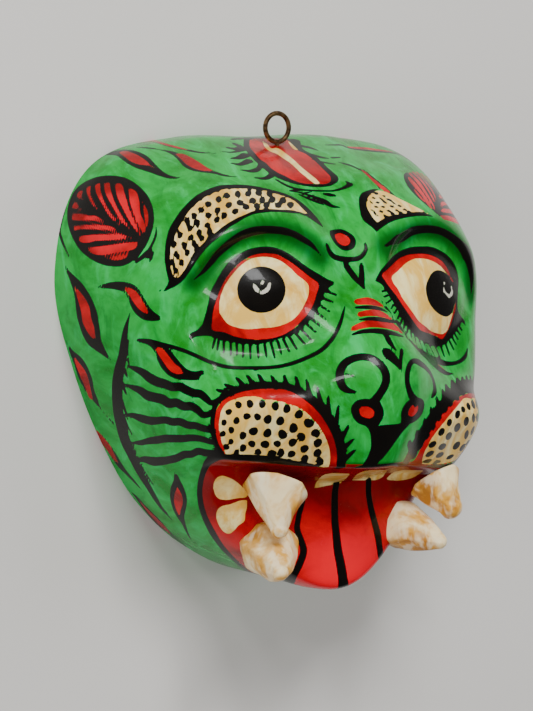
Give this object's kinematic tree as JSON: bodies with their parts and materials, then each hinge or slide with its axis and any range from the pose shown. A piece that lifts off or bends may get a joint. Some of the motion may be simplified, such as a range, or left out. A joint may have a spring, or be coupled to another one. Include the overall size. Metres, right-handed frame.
{
  "type": "tiger mask",
  "caption": "Hollow carved tiger face mask with brow ridges, whisker pads, open mouth, tongue and fangs, hung by a screw eye at the crown.",
  "frame": {"origin": "middle of the underside of the bounding box, with the mask lying on its back rim", "axes": "+Z out of the face, +Y towards the crown, +X towards the mask's right side as seen from the front"},
  "size_m": [0.2398, 0.245, 0.1328],
  "materials": {
    "painted_wood": "green lacquer with red, cream and black brushwork, glossy",
    "aged_brass": "dark, worn",
    "fang_ivory": "cream lacquer over lumpy carved wood, stained ochre"
  },
  "bodies": {
    "root": {"mask_body": "painted_wood", "screw_eye": "aged_brass", "fang_upper_left": "fang_ivory", "fang_upper_right": "fang_ivory", "fang_lower_left": "fang_ivory", "fang_lower_right": "fang_ivory"}
  },
  "joints": []
}
